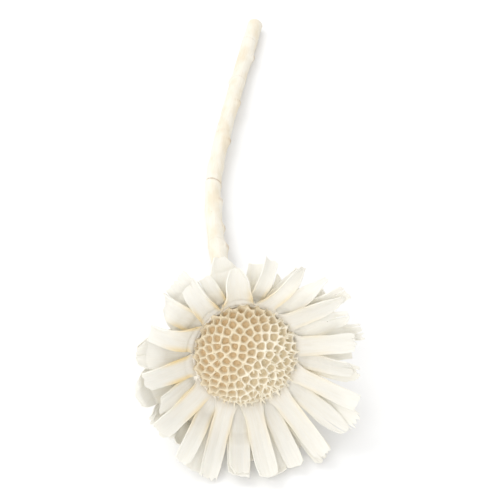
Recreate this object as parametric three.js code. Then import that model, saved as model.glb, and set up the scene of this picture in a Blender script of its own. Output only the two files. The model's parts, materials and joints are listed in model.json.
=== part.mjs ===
// A dried protea flower, bleached and cut flat, lying on its side on a table.
//
// The flower rests on the tips of its lower bracts and on the cut end of its stem. +Z is up, the stem
// runs away along +Y, and the face looks towards -Y and up. The origin is on the table, under the
// middle of the flower's box. All lengths are in millimetres.
import * as THREE from "three";

// ---- Driving dimensions -------------------------------------------------------------------------

// How the head leans: its axis points out of the face.
const HEAD_ELEVATION = 27.8; // degrees above the table
const HEAD_HEADING = 7.7; // degrees from -Y towards +X

// The woody receptacle: a cone under a domed disc of empty floret pits.
const DISC_RADIUS = 13.9;
const DOME_HEIGHT = 6.4;
const CONE_SLANT = 17; // from the foot of the lowest inner bracts down to the stem
const CONE_TOP_ANGLE = 66; // degrees between the cone's side and the plane of the face
const CONE_ANGLE_PER_MM = 0.9; // the cone's side leans out more, further down

// The surface that the bracts follow: up the cone, out over the rim, and on to the tips.
const RIM_REACH = { start: 3.4, end: 9.5 }; // where the bracts turn outwards, along their length
const SPREAD = { side: 23, top: 41 }; // degrees that the bracts stand up from the plane of the face
const DROOP_PER_MM = 0.55; // degrees that they flatten with each millimetre
const TOP_CURL = 4.6; // degrees more with each millimetre, at the curled tips on the upper side
const CURL_FROM = 14; // how far along the curl begins
const UPPER_SIDE = 112; // degrees round the face, anticlockwise from the right, of the curled side
const LOWER_SIDE = 270; // the side that the head lies on
const PRESSED = 17; // degrees that the table pushes those bracts further up

// Bracts in five layers, from the face to the stem.
const BRACT_THICKNESS = 0.65;
const LAYER_SPACING = 1.08;
const FIRST_FOOT = -0.6; // where the inner layer's bracts begin, along the surface that they follow
const FOOT_STEP = 3.0; // how much lower each further layer begins
const CLEARANCE = 0.3;
const LAYERS = [
  { name: "inner_bract", count: 12, length: 25.0, base: 4.6, tip: 5.2, first: 4 },
  { name: "second_bract", count: 12, length: 27.8, base: 4.4, tip: 5.0, first: 19 },
  { name: "third_bract", count: 16, length: 29.6, base: 3.2, tip: 5.0, first: 11 },
  { name: "outer_bract", count: 11, length: 28.0, base: 3.9, tip: 6.2, first: 0 },
  { name: "basal_bract", count: 6, length: 10.5, base: 4.6, tip: 4.2, first: 23 },
];
const LENGTH_SPREAD = 0.055; // share by which the bracts differ in length
const AZIMUTH_SPREAD = 1.3; // degrees by which they stray from even spacing

// The stem, from the cone's foot to its cut end, as places on the table plane and heights above it.
const STEM_RADIUS = 2.35;
const STEM_NECK_RADIUS = 3.1;
const STEM_ROUTE = [
  { x: -9.2, y: 66, z: 4.4 },
  { x: -10.6, y: 84, z: 4.0 },
  { x: -10.7, y: 97, z: 4.2 },
  { x: -9.2, y: 112, z: 4.4 },
  { x: -5.4, y: 137, z: 4.0 },
  { x: -1.6, y: 160, z: 3.2 },
  { x: 2.9, y: 186, z: 2.4 },
];
// Old leaf scars: where they are along the stem, how far they swell it, and how long each is.
const STEM_NODES = [
  { at: 0.28, swell: 0.2, length: 0.035 },
  { at: 0.4, swell: 0.28, length: 0.03 },
  { at: 0.52, swell: 0.22, length: 0.012 },
  { at: 0.71, swell: 0.12, length: 0.02 },
  { at: 0.88, swell: 0.1, length: 0.02 },
];

// How far the flower has settled from that lie until it rests on three points, in degrees.
const SETTLE = { pitch: 0.08, roll: -1.24 };

// Mesh fineness.
const ACROSS_BRACT = 2;
const ALONG_BRACT = 7;
const ROUND_STEM = 12;
const ALONG_STEM = 40;
const ROUND_HEAD = 28;
const SPINE_STEP = 0.25;

// ---- Small helpers ------------------------------------------------------------------------------

const { degToRad, smoothstep, lerp } = THREE.MathUtils;

/** A repeatable number from -1 to 1 for a pair of counting numbers. */
function vary(i, k) {
  const x = Math.sin(12.9898 * (i + 1) + 78.233 * (k + 1)) * 43758.5453;
  return 2 * (x - Math.floor(x)) - 1;
}

/** 1 in the middle of the curled upper side of the head, falling to 0 at its sides. */
function upperSide(azimuth) {
  const away = Math.cos(degToRad(azimuth - UPPER_SIDE));
  return smoothstep(away, 0.25, 0.95);
}

/** 1 where the head lies on the table, falling to 0 a few bracts away. */
function pressedSide(azimuth) {
  const away = Math.cos(degToRad(azimuth - LOWER_SIDE));
  return smoothstep(away, 0.93, 0.98);
}

/** The angle, in degrees above the face's plane, of the bracts' surface at s millimetres along it. */
function surfaceAngle(s, azimuth) {
  if (s < 0) return CONE_TOP_ANGLE + CONE_ANGLE_PER_MM * s;
  const upper = upperSide(azimuth);
  const spread = lerp(SPREAD.side, SPREAD.top, upper) + PRESSED * pressedSide(azimuth);
  const turn = smoothstep(s, RIM_REACH.start, RIM_REACH.end);
  const droop = DROOP_PER_MM * Math.max(0, s - RIM_REACH.end);
  const curl = TOP_CURL * upper * Math.max(0, s - CURL_FROM);
  return lerp(CONE_TOP_ANGLE, spread, turn) - droop - curl;
}

/**
 * A point of the bracts' surface in the head's frame, where +Z is the axis and the disc's rim is at
 * height 0. It is s along the surface, offset behind it, and at an azimuth in degrees.
 */
function onSurface(s, offset, azimuth) {
  let radius = DISC_RADIUS - 0.9;
  let height = -3.6;
  const step = Math.sign(s) * SPINE_STEP;
  const steps = Math.ceil(Math.abs(s) / SPINE_STEP);
  for (let i = 0; i < steps; i++) {
    const part = i === steps - 1 ? s - step * i : step;
    const slope = degToRad(surfaceAngle(step * i + part / 2, azimuth));
    radius += part * Math.cos(slope);
    height += part * Math.sin(slope);
  }
  const slope = degToRad(surfaceAngle(s, azimuth));
  radius += offset * Math.sin(slope);
  height -= offset * Math.cos(slope);
  const turn = degToRad(azimuth);
  return new THREE.Vector3(radius * Math.cos(turn), radius * Math.sin(turn), height);
}

/** Where a layer's bracts begin along the surface. */
function footOf(layer) {
  return FIRST_FOOT - FOOT_STEP * layer;
}

/** How far behind the surface a layer runs: it starts on the cone and steps over each layer inside it. */
function layerOffset(layer, s) {
  let offset = 0;
  for (let inner = 0; inner < layer; inner++) {
    const foot = footOf(inner);
    offset += LAYER_SPACING * smoothstep(s, foot - FOOT_STEP + CLEARANCE, foot - CLEARANCE / 2);
  }
  return offset;
}

/** Moves every corner of a geometry by a function of its place. */
function reshape(geometry, place) {
  const position = geometry.getAttribute("position");
  const corner = new THREE.Vector3();
  for (let i = 0; i < position.count; i++) {
    const moved = place(corner.fromBufferAttribute(position, i));
    position.setXYZ(i, moved.x, moved.y, moved.z);
  }
  geometry.computeVertexNormals();
  return geometry;
}

// ---- Materials ----------------------------------------------------------------------------------

const bractMaterial = new THREE.MeshStandardMaterial({ color: 0xf3ecdc, roughness: 0.75 });
const discMaterial = new THREE.MeshStandardMaterial({ color: 0xd9c193, roughness: 0.85 });
const stemMaterial = new THREE.MeshStandardMaterial({ color: 0xe9dfc9, roughness: 0.7 });

// ---- Pieces -------------------------------------------------------------------------------------

/** One papery bract: a strap that follows the surface, with raised edges and a square cut end. */
function bract(layer, i) {
  const { name, count, length, base, tip, first } = LAYERS[layer];
  const azimuth = first + (360 / count) * i + AZIMUTH_SPREAD * vary(i, layer);
  const foot = footOf(layer);
  const ownLength = length * (1 + LENGTH_SPREAD * vary(i, layer + 10));
  const ownWidth = 1 + 0.08 * vary(i, layer + 20);
  const lift = layer < 2 ? 0.9 * (1 + vary(i, layer + 30)) : 0;
  const cup = layer < 2 ? 0.45 : 0.12;

  const box = new THREE.BoxGeometry(2, 1, 1, ACROSS_BRACT, ALONG_BRACT, 1);
  const geometry = reshape(box, ({ x: across, y, z: through }) => {
    const along = y + 0.5;
    const s = foot + ownLength * along;
    const outer = smoothstep(along, 0.4, 1);
    const width = ownWidth * lerp(base, tip, smoothstep(along, 0.1, 0.6));
    const corner = layer === 4 ? 1 - 0.5 * outer : 1 - 0.12 * smoothstep(along, 0.85, 1);
    const offset = layerOffset(layer, s) - outer * (lift + cup * across * across);
    const middle = onSurface(s, offset, azimuth);
    const radius = Math.hypot(middle.x, middle.y);
    const turn = THREE.MathUtils.radToDeg((across * width * corner) / 2 / radius);
    return onSurface(s, offset - through * BRACT_THICKNESS, azimuth - turn);
  });
  const mesh = new THREE.Mesh(geometry, bractMaterial);
  mesh.name = `${name}_${String(i + 1).padStart(2, "0")}`;
  return mesh;
}

/** The receptacle, one solid of revolution: the cone that the bracts grow on, and the domed disc. */
function receptacle() {
  const inside = -(BRACT_THICKNESS / 2 + CLEARANCE);
  const profile = [];
  const foot = onSurface(-CONE_SLANT, inside, 0);
  profile.push(new THREE.Vector2(0, foot.z));
  for (let s = -CONE_SLANT; s <= 1; s += 3) {
    const { x, z } = onSurface(s, inside, 0);
    profile.push(new THREE.Vector2(x, z));
  }
  const DOME_STEPS = 6;
  for (let i = 0; i < DOME_STEPS; i++) {
    const turn = (Math.PI / 2) * (i / DOME_STEPS);
    profile.push(new THREE.Vector2(DISC_RADIUS * Math.cos(turn), DOME_HEIGHT * Math.sin(turn)));
  }
  profile.push(new THREE.Vector2(0, DOME_HEIGHT));
  const geometry = new THREE.LatheGeometry(profile, ROUND_HEAD);
  geometry.rotateX(Math.PI / 2);
  const mesh = new THREE.Mesh(geometry, discMaterial);
  mesh.name = "receptacle";
  return mesh;
}

/** The stem, a tapering knobbly rod from the neck of the head to its cut end. */
function stem(neck, neckDirection, tableHeight) {
  const points = [neck, neck.clone().addScaledVector(neckDirection, 16)];
  for (const { x, y, z } of STEM_ROUTE) points.push(new THREE.Vector3(x, y, z + tableHeight));
  const route = new THREE.CatmullRomCurve3(points, false, "centripetal");
  const frames = route.computeFrenetFrames(ALONG_STEM, false);
  const rod = new THREE.CylinderGeometry(1, 1, 1, ROUND_STEM, ALONG_STEM, false);
  const geometry = reshape(rod, ({ x, y, z }) => {
    const along = 0.5 - y;
    const k = Math.round(along * ALONG_STEM);
    let radius = lerp(STEM_NECK_RADIUS, STEM_RADIUS, smoothstep(along, 0, 0.12));
    for (const node of STEM_NODES) {
      radius += node.swell * Math.exp(-(((along - node.at) / node.length) ** 2));
    }
    return route
      .getPointAt(along)
      .addScaledVector(frames.normals[k], radius * x)
      .addScaledVector(frames.binormals[k], radius * z);
  });
  const mesh = new THREE.Mesh(geometry, stemMaterial);
  mesh.name = "stem";
  return mesh;
}

// ---- The flower ---------------------------------------------------------------------------------

const head = new THREE.Group();
head.add(receptacle());
LAYERS.forEach(({ count }, layer) => {
  for (let i = 0; i < count; i++) head.add(bract(layer, i));
});
// The head's +Z axis is turned to look towards -Y and up, with its +Y staying in the upright plane.
head.rotation.order = "ZXY";
head.rotation.set(degToRad(90 - HEAD_ELEVATION), 0, degToRad(HEAD_HEADING));
head.updateMatrixWorld(true);

const axis = new THREE.Vector3(0, 0, 1).applyQuaternion(head.quaternion);
const tableHeight = new THREE.Box3().setFromObject(head, true).min.z;
const coneFoot = onSurface(-CONE_SLANT, 0, 0).z;
const neck = axis.clone().multiplyScalar(coneFoot - CLEARANCE);

const lying = new THREE.Group();
lying.add(head, stem(neck, axis.clone().negate(), tableHeight));
lying.rotation.set(degToRad(SETTLE.pitch), degToRad(SETTLE.roll), 0);

// The flower's box stands on the origin.
const flower = new THREE.Group();
flower.add(lying);
flower.updateMatrixWorld(true);
const box = new THREE.Box3().setFromObject(flower, true);
const middle = box.getCenter(new THREE.Vector3());
lying.position.set(-middle.x, -middle.y, -box.min.z);

export default flower;
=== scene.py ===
"""A dried protea flower, bleached and cut flat, lying on its side on a pale table.

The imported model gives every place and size: each papery bract, the receptacle and the stem are
measured on their solids, and the finished pieces are grown along them.
"""

import json
import logging
import math
from collections.abc import Iterator
from contextlib import contextmanager
from dataclasses import dataclass, field, replace
from enum import Enum

import bpy
import numpy as np
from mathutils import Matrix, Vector
from mathutils.bvhtree import BVHTree
from mathutils.geometry import delaunay_2d_cdt

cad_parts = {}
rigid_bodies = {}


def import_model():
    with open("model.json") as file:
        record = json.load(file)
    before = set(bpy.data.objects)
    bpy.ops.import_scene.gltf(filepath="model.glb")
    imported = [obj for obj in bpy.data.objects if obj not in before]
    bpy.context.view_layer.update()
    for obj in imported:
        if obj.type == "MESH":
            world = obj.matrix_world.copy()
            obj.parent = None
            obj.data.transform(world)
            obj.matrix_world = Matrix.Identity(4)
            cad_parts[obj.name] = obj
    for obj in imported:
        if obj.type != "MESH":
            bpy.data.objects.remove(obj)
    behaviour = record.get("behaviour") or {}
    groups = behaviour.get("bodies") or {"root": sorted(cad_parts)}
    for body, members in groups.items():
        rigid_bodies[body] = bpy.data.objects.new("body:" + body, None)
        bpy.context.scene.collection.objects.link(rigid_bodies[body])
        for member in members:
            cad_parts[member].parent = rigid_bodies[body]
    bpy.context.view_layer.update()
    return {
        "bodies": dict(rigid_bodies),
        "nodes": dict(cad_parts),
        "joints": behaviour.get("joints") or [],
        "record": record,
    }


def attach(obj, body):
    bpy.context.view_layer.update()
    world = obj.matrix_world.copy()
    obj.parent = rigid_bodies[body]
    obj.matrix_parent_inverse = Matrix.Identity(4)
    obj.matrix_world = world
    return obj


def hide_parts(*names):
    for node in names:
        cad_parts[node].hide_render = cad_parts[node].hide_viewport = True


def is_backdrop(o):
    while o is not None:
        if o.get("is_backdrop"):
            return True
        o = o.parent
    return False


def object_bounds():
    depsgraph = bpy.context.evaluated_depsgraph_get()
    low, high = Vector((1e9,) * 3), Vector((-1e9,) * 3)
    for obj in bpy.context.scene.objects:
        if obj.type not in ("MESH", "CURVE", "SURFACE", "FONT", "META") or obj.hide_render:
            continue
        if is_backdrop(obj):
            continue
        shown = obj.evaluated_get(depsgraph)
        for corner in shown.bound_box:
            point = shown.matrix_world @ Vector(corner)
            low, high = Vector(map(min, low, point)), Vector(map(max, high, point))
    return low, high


MM = 0.001
FULL_TURN = 2 * math.pi
GOLDEN_TURN = math.pi * (3 - math.sqrt(5))
UP = np.array([0.0, 0.0, 1.0])
SAME_PLACE = 0.002 * MM
PAPER = 0.34 * MM
SEEDS_APART = 100
log = logging.getLogger("protea")


# ---- Numbers -------------------------------------------------------------------------------------


def smooth(value: np.ndarray | float, low: float, high: float) -> np.ndarray | float:
    """Eases a value from 0 at low to 1 at high.

    Args:
        value: What is eased, a number or an array.
        low: Where the result leaves 0.
        high: Where the result reaches 1.

    Returns:
        A number or an array between 0 and 1.
    """
    part = np.clip((value - low) / (high - low), 0.0, 1.0)
    return part * part * (3 - 2 * part)


def side(azimuth: float, centre: float, reach: float) -> float:
    """Tells how near an azimuth is to one side of the head.

    Args:
        azimuth: Degrees round the face, anticlockwise from its right.
        centre: The middle of that side, in degrees.
        reach: How many degrees away the side ends.

    Returns:
        1 at the side's middle, falling to 0 where it ends.
    """
    away = abs((azimuth - centre + 180) % 360 - 180)
    return float(1 - smooth(away, 0.35 * reach, reach))


def wander(length: int, steps: int, rng: np.random.Generator) -> np.ndarray:
    """Makes a smooth random line.

    Args:
        length: How many values it has.
        steps: How many times it may turn.
        rng: Where its random numbers come from.

    Returns:
        The values, mostly between -1 and 1.
    """
    knots = rng.uniform(-1, 1, steps + 3)
    places = np.linspace(1, steps + 1, length)
    base = np.minimum(places.astype(int), steps)
    part = places - base
    part = part * part * (3 - 2 * part)
    return knots[base] * (1 - part) + knots[base + 1] * part


def closed_wander(steps_round: int, steps: int, rng: np.random.Generator) -> np.ndarray:
    """Makes a smooth random line that ends as it starts, to go round a circle.

    Args:
        steps_round: How many even steps the circle has.
        steps: How many times the line may turn.
        rng: Where its random numbers come from.

    Returns:
        The values, one more than the circle has steps.
    """
    line = wander(steps_round + 1, steps, rng)
    line[-1] = line[0]
    return line


def step_round(angle: np.ndarray, steps_round: int) -> np.ndarray:
    """Finds the nearest of the even steps round a circle."""
    return np.rint((angle / FULL_TURN % 1) * steps_round).astype(int) % steps_round


def running(steps: np.ndarray) -> np.ndarray:
    """Adds steps up into the distances that they reach, from 0 on."""
    return np.concatenate([[0.0], np.cumsum(steps)])


def unit(vectors: np.ndarray) -> np.ndarray:
    """Scales a vector, or each row of an array of them, to a length of 1.

    Args:
        vectors: One vector, or one in each row.

    Returns:
        The same directions, each with a length of 1.
    """
    if vectors.ndim == 1:
        return vectors / np.linalg.norm(vectors)
    return vectors / np.linalg.norm(vectors, axis=1)[:, None]


def linear(red: int, green: int, blue: int) -> tuple[float, float, float, float]:
    """Turns a display colour into the shader's linear one.

    Args:
        red: Its red, from 0 to 255.
        green: Its green, from 0 to 255.
        blue: Its blue, from 0 to 255.

    Returns:
        The linear red, green and blue, and 1 for opaque.
    """
    parts = [c / 255 for c in (red, green, blue)]
    r, g, b = (p / 12.92 if p < 0.04045 else ((p + 0.055) / 1.055) ** 2.4 for p in parts)
    return (r, g, b, 1.0)


# ---- Reading the solids --------------------------------------------------------------------------


def corners(node: bpy.types.Object) -> np.ndarray:
    """Reads a node's corners, each place once.

    Args:
        node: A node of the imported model.

    Returns:
        The corners' places, in metres.
    """
    places = get_places(node)
    _, first = np.unique(np.round(places / SAME_PLACE).astype(int), axis=0, return_index=True)
    return places[np.sort(first)]


def rows(points: np.ndarray, order: np.ndarray, count: int) -> list[np.ndarray]:
    """Parts a solid's corners into its cross-sections.

    Args:
        points: The corners.
        order: How far along the solid each one is.
        count: How many cross-sections the solid has.

    Returns:
        The corners of each cross-section, from the first to the last.
    """
    by_order = np.argsort(order)
    gaps = np.diff(order[by_order])
    cuts = np.sort(np.argsort(gaps)[-(count - 1):]) + 1
    return [points[part] for part in np.split(by_order, cuts)]


@dataclass
class Head:
    """The head's own frame: the origin is at the middle of the disc's rim, and z is the axis."""

    origin: np.ndarray
    turn: np.ndarray

    @classmethod
    def measured(cls, receptacle: bpy.types.Object) -> "Head":
        """Finds the axis of the receptacle, a solid of revolution, and the place of its rim.

        Args:
            receptacle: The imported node.

        Returns:
            The head's frame.
        """
        points = corners(receptacle)
        middle = points.mean(axis=0)
        spreads, directions = np.linalg.eigh(np.cov((points - middle).T))
        odd = int(np.argmax([abs(s - np.median(spreads)) for s in spreads]))
        axis = directions[:, odd]
        axis = axis if axis[2] > 0 else -axis
        across = unit(np.cross(UP, axis))
        turn = np.stack([across, np.cross(axis, across), axis])
        local = (points - middle) @ turn.T
        radius = np.hypot(local[:, 0], local[:, 1])
        play = 0.01 * MM
        rim = local[radius > radius.max() - play]
        origin = middle + axis * rim[:, 2].max()
        return cls(origin, turn)

    def local(self, points: np.ndarray) -> np.ndarray:
        """Turns places in the model's frame into places in the head's."""
        return (points - self.origin) @ self.turn.T

    def world(self, points: np.ndarray) -> np.ndarray:
        """Turns places in the head's frame into places in the model's."""
        return points @ self.turn + self.origin

    def read(self, node: bpy.types.Object) -> tuple[np.ndarray, np.ndarray]:
        """Reads a node's corners in the head's frame.

        Args:
            node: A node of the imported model.

        Returns:
            The corners' places, and how far each is from the head's axis.
        """
        points = self.local(corners(node))
        return points, np.hypot(points[:, 0], points[:, 1])


# ---- Mesh making ---------------------------------------------------------------------------------


def deselect() -> None:
    """Leaves nothing selected."""
    bpy.ops.object.select_all(action="DESELECT")


def pick(piece: bpy.types.Object) -> None:
    """Makes one object the only one that operators act on.

    Args:
        piece: The object.
    """
    deselect()
    piece.select_set(True)
    bpy.context.view_layer.objects.active = piece


@contextmanager
def editing(piece: bpy.types.Object) -> Iterator[None]:
    """Holds a piece's mesh open for editing while a with block runs.

    Args:
        piece: The piece.

    Yields:
        Nothing.
    """
    pick(piece)
    bpy.ops.object.mode_set(mode="EDIT")
    yield
    bpy.ops.object.mode_set(mode="OBJECT")


def close_openings(piece: bpy.types.Object, drop: float = 0.0) -> None:
    """Closes every open edge of a piece with a face, and turns its faces outward.

    Args:
        piece: The piece.
        drop: How far down the open edges are drawn first.
    """
    with editing(piece):
        bpy.ops.mesh.select_all(action="DESELECT")
        bpy.ops.mesh.select_mode(type="EDGE")
        bpy.ops.mesh.select_non_manifold(extend=False)
        if drop:
            bpy.ops.mesh.extrude_edges_move(TRANSFORM_OT_translate={"value": (0, 0, -drop)})
        bpy.ops.mesh.edge_face_add()
        bpy.ops.mesh.select_mode(type="FACE")
        bpy.ops.mesh.select_all(action="SELECT")
        bpy.ops.mesh.normals_make_consistent(inside=False)


def new_piece(name: str, places: np.ndarray, faces: list[list[int]]) -> bpy.types.Object:
    """Makes a piece from its corners and faces.

    Args:
        name: The name of the piece and of its mesh.
        places: The corners' places.
        faces: The corners of each face.

    Returns:
        The piece.
    """
    mesh = bpy.data.meshes.new(name)
    mesh.from_pydata([tuple(p) for p in places], [], faces)
    mesh.update()
    piece = bpy.data.objects.new(name, mesh)
    bpy.context.scene.collection.objects.link(piece)
    return piece


def flat_grid(across: int, along: int) -> tuple[bpy.types.Object, np.ndarray, np.ndarray]:
    """Makes a flat grid of faces, to be bent into a piece.

    Args:
        across: How many faces it has across.
        along: How many faces it has along.

    Returns:
        The grid, and the column and the row of each of its corners.
    """
    deselect()
    bpy.ops.mesh.primitive_grid_add(x_subdivisions=across, y_subdivisions=along, size=2)
    piece = bpy.context.object
    flat = get_places(piece)
    column = np.rint((flat[:, 0] + 1) / 2 * across).astype(int)
    row = np.rint((flat[:, 1] + 1) / 2 * along).astype(int)
    return piece, column, row


def apply_modifier(piece: bpy.types.Object, kind: str, **settings: object) -> None:
    """Adds a modifier to a piece and applies it.

    Args:
        piece: The piece.
        kind: The modifier's type.
        **settings: Its settings by name.
    """
    pick(piece)
    modifier = piece.modifiers.new(kind.title(), kind)
    for name, value in settings.items():
        setattr(modifier, name, value)
    bpy.ops.object.modifier_apply(modifier=modifier.name)


def set_places(piece: bpy.types.Object, places: np.ndarray) -> None:
    """Moves every corner of a piece's mesh."""
    piece.data.vertices.foreach_set("co", np.ascontiguousarray(places, dtype=np.float32).ravel())
    piece.data.update()


def get_places(piece: bpy.types.Object) -> np.ndarray:
    """Reads the place of every corner of a piece's mesh.

    Args:
        piece: The piece.

    Returns:
        One place for each corner.
    """
    flat = np.empty(len(piece.data.vertices) * 3)
    piece.data.vertices.foreach_get("co", flat)
    return flat.reshape(-1, 3)


def mark(piece: bpy.types.Object, name: str, values: np.ndarray) -> None:
    """Keeps a number or a vector for each corner, for the piece's finish to read.

    Args:
        piece: The piece.
        name: The attribute's name.
        values: One number or one vector for each corner.
    """
    kind = "FLOAT_VECTOR" if values.ndim == 2 else "FLOAT"
    layer = piece.data.attributes.new(name, kind, "POINT")
    key = "vector" if values.ndim == 2 else "value"
    layer.data.foreach_set(key, np.ascontiguousarray(values, dtype=np.float32).ravel())


def mark_all(piece: bpy.types.Object, **levels: float) -> None:
    """Keeps the same number for every corner of a piece, under each of the given names."""
    for name, level in levels.items():
        mark(piece, name, np.full(len(piece.data.vertices), level))


def dress(
    piece: bpy.types.Object, name: str, material: bpy.types.Material, crease: float | None = None
) -> None:
    """Gives a piece its name, its material and its smooth shading.

    Args:
        piece: The piece.
        name: Its name.
        material: Its material.
        crease: From how many degrees on an edge looks sharp. Without it, none does.
    """
    pick(piece)
    if crease is None:
        bpy.ops.object.shade_smooth()
    else:
        bpy.ops.object.shade_smooth_by_angle(angle=math.radians(crease))
    piece.name = name
    piece.data.materials.append(material)


def adopt(piece: bpy.types.Object, nodes: list[str]) -> None:
    """Lets a finished piece ride on the flower in place of its solids.

    Args:
        piece: The piece.
        nodes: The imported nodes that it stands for.
    """
    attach(piece, "root")
    if nodes:
        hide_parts(*nodes)
    log.info("%s: %d faces", piece.name, len(piece.data.polygons))


# ---- Shader making -------------------------------------------------------------------------------


class Value:
    """A number in a shader, which Python's own operators work on."""

    def __init__(self, shader: "Shader", socket: bpy.types.NodeSocket) -> None:
        """Wraps a socket of a shader.

        Args:
            shader: The shader.
            socket: The output of one of its nodes.
        """
        self.shader = shader
        self.socket = socket

    def _maths(self, operation: str, *terms: object) -> "Value":
        """Adds a Math node that works on the given terms."""
        inputs = dict(enumerate(terms))
        return self.shader.value("ShaderNodeMath", {"operation": operation}, inputs)

    def __add__(self, other: object) -> "Value":
        """The sum."""
        return self._maths("ADD", self, other)

    def __sub__(self, other: object) -> "Value":
        """The difference."""
        return self._maths("SUBTRACT", self, other)

    def __rsub__(self, other: object) -> "Value":
        """The difference, this one taken away."""
        return self._maths("SUBTRACT", other, self)

    def __mul__(self, other: object) -> "Value":
        """The product."""
        return self._maths("MULTIPLY", self, other)

    def eased(self, low: float, high: float) -> "Value":
        """Eases the value from 0 at low to 1 at high."""
        settings = {"interpolation_type": "SMOOTHSTEP"}
        return self.shader.value("ShaderNodeMapRange", settings, {0: self, 1: low, 2: high})


class Shader:
    """A material that is written as expressions."""

    def __init__(self, name: str) -> None:
        """Starts an empty material.

        Args:
            name: The material's name.
        """
        self.material = bpy.data.materials.new(name)
        self.material.use_nodes = True
        self.tree = self.material.node_tree
        self.tree.nodes.clear()

    def node(self, kind: str, settings: dict, inputs: dict) -> bpy.types.Node:
        """Adds a node.

        Args:
            kind: The node's type.
            settings: Its properties by name.
            inputs: Its sockets by name or number, each a value, a Value or a socket.

        Returns:
            The node.
        """
        node = self.tree.nodes.new(kind)
        for name, setting in settings.items():
            setattr(node, name, setting)
        for name, given in inputs.items():
            source = given.socket if isinstance(given, Value) else given
            if isinstance(source, bpy.types.NodeSocket):
                self.tree.links.new(source, node.inputs[name])
            else:
                node.inputs[name].default_value = source
        return node

    def value(self, kind: str, settings: dict, inputs: dict, output: object = 0) -> Value:
        """Adds a node and wraps one of its outputs."""
        return Value(self, self.node(kind, settings, inputs).outputs[output])

    def attribute(self, name: str, output: str = "Fac") -> Value:
        """Reads one of the piece's own attributes."""
        settings = {"attribute_name": name}
        return self.value("ShaderNodeAttribute", settings, {}, output)

    def place(self) -> Value:
        """Reads the place on the object."""
        return self.value("ShaderNodeTexCoord", {}, {}, "Object")

    def scaled(self, vector: Value, x: float, y: float, z: float) -> Value:
        """Stretches a place or a direction."""
        settings = {"operation": "MULTIPLY"}
        return self.value("ShaderNodeVectorMath", settings, {0: vector, 1: (x, y, z)})

    def noise(self, vector: Value, scale: float, detail: float, roughness: float = 0.5) -> Value:
        """Adds a cloudy noise over a place."""
        inputs = {"Vector": vector, "Scale": scale, "Detail": detail, "Roughness": roughness}
        return self.value("ShaderNodeTexNoise", {}, inputs, "Fac")

    def mix(self, part: object, first: object, second: object, blend: str = "MIX") -> Value:
        """Mixes two colours by a value."""
        settings = {"data_type": "RGBA", "blend_type": blend}
        return self.value("ShaderNodeMix", settings, {0: part, 6: first, 7: second}, 2)

    def bump(self, height: Value, depth: float, strength: float = 1.0) -> Value:
        """Turns a height into a surface direction.

        Args:
            height: The height, from 0 to 1.
            depth: What a height of 1 stands for, in metres.
            strength: How much of it shows.

        Returns:
            The direction.
        """
        inputs = {"Height": height, "Distance": depth, "Strength": strength}
        return self.value("ShaderNodeBump", {}, inputs, "Normal")

    def skin(
        self, colour: object, roughness: float, gloss: float, normal: Value | None = None
    ) -> bpy.types.NodeSocket:
        """Adds an opaque surface.

        Args:
            colour: Its colour.
            roughness: How dull it is.
            gloss: How much of the light it mirrors.
            normal: Its surface direction, if it has any relief.

        Returns:
            The surface.
        """
        inputs = {"Base Color": colour, "Roughness": roughness, "Specular IOR Level": gloss}
        if normal is not None:
            inputs["Normal"] = normal
        return self.node("ShaderNodeBsdfPrincipled", {}, inputs).outputs[0]

    def finish(self, surface: bpy.types.NodeSocket) -> bpy.types.Material:
        """Ends the material in a surface."""
        self.node("ShaderNodeOutputMaterial", {}, {"Surface": surface})
        return self.material


# ---- Finishes ------------------------------------------------------------------------------------


@dataclass(frozen=True)
class PaperyFinish:
    """Bleached bract tissue: ivory, fibrous and a little translucent, warmer towards its foot, with painted
    light: the foot lifted brighter against the shade at the collar, and a warm glow painted into the slits
    between bracts.
    """

    tip: tuple = linear(244, 243, 239)
    middle: tuple = linear(249, 247, 241)
    # Painted light: the foot is lifted brighter than the middle, against the shade that falls at the collar
    # round the disc.
    foot: tuple = linear(252, 248, 239)
    # Painted glow: the warm light that shines through the tissue, painted into the slits between bracts.
    warm: tuple = linear(248, 220, 150)
    shine_through: tuple = linear(255, 253, 246)
    streak: tuple = linear(228, 212, 178)
    roughness: float = 0.62
    thinness: float = 0.38
    relief: float = 0.22 * MM

    def material(self) -> bpy.types.Material:
        """Builds the material.

        Returns:
            The material, which reads the attributes along, edge, grain and tone, and the one that sets the
            painted glow.
        """
        s = Shader("papery")
        along = s.attribute("along")
        edge = s.attribute("edge")
        tone = s.attribute("tone")
        warmth = s.attribute("warmth")
        grain = s.attribute("grain", "Vector")
        fibres = s.noise(s.scaled(grain, 3.2, 0.16, 1.0), 1.0, 5.0, 0.6)
        fine = s.noise(s.scaled(grain, 9.0, 0.35, 1.0), 1.0, 3.0, 0.6)
        mottle = s.noise(s.scaled(grain, 0.5, 0.22, 1.0), 1.0, 2.0)
        lower = s.mix(along.eased(0.16, 0.42), self.foot, self.middle)
        body = s.mix((along + (mottle - 0.5) * 0.5).eased(0.42, 0.8), lower, self.tip)
        # Painted glow: warm light painted near the edges, partway along each bract where the slits open, as
        # strong as the bract's glow amount.
        slit = along.eased(0.24, 0.38) * (1 - along.eased(0.5, 0.8))
        glow = slit * edge.eased(0.5, 1.0) * warmth
        with_painted_glow = s.mix(glow, body, self.warm)
        toned = s.mix(tone * 0.55, with_painted_glow, self.middle)
        streaks = fibres.eased(0.42, 0.68) * 0.22 * (0.9 - along * 0.3)
        streaked = s.mix(streaks, toned, self.streak, "MULTIPLY")
        height = fibres * 0.65 + fine * 0.35
        skin = s.skin(streaked, self.roughness, 0.3, s.bump(height, self.relief, 0.8))
        light = s.node("ShaderNodeBsdfTranslucent", {}, {"Color": self.shine_through})
        thin = along.eased(0.15, 0.42) * self.thinness
        mixed = s.node("ShaderNodeMixShader", {}, {0: thin, 1: skin, 2: light.outputs[0]})
        return s.finish(mixed.outputs[0])


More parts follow.
